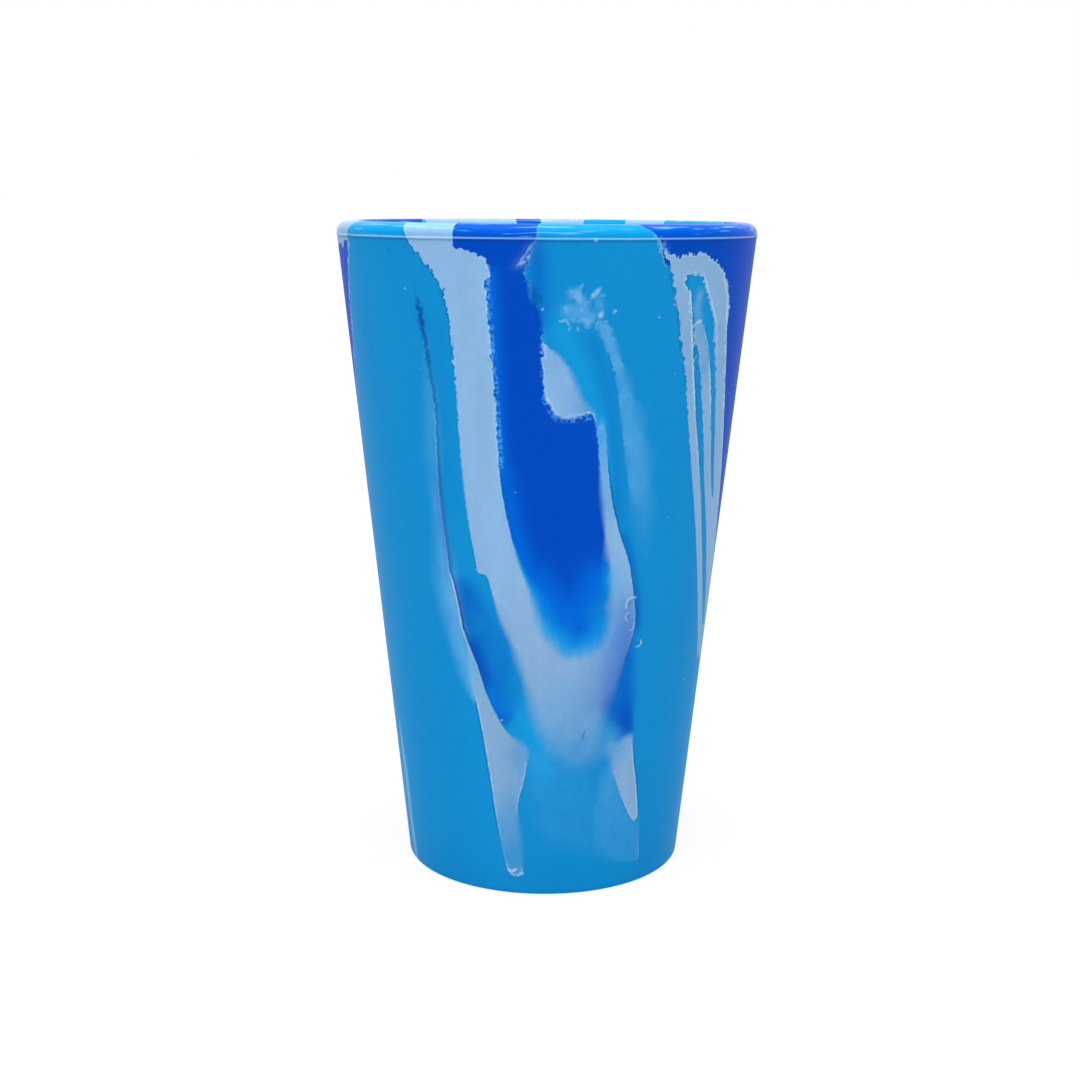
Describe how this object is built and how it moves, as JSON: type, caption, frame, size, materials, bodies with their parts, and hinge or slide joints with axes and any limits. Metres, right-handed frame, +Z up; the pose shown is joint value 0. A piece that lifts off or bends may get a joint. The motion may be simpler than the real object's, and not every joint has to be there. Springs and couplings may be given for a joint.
{
  "type": "silicone cup",
  "caption": "Tapered pint cup of soft silicone with a rounded lip, marbled in cyan, pale and cobalt blue.",
  "frame": {"origin": "centre of the foot ring, on the surface that the cup stands on", "axes": "+Z up along the cup's axis to the open mouth, -Y towards the viewer of the pictured side"},
  "size_m": [0.0894, 0.0894, 0.14],
  "materials": {
    "cyan_silicone": "satin moulded silicone, cyan blue",
    "cobalt_silicone": "satin moulded silicone, cobalt blue",
    "pale_silicone": "satin moulded silicone, pale ice blue"
  },
  "bodies": {
    "root": {"cup_body": "cyan_silicone", "side_cyan_core": "cyan_silicone", "front_pale_sweep": "pale_silicone", "front_pale_patch": "pale_silicone", "front_pale_drip_left": "pale_silicone", "front_pale_drip_right": "pale_silicone", "side_pale_hook": "pale_silicone", "edge_pale_tooth": "pale_silicone", "back_pale_sweep": "pale_silicone", "back_pale_ribbon": "pale_silicone", "back_pale_drip": "pale_silicone", "back_pale_flare": "pale_silicone", "front_cobalt_tongue": "cobalt_silicone", "front_cobalt_fold_left": "cobalt_silicone", "front_cobalt_fold_right": "cobalt_silicone", "side_cobalt_band": "cobalt_silicone", "edge_cobalt_wedge": "cobalt_silicone", "back_cobalt_tongue": "cobalt_silicone", "back_cobalt_fold": "cobalt_silicone"}
  },
  "joints": []
}
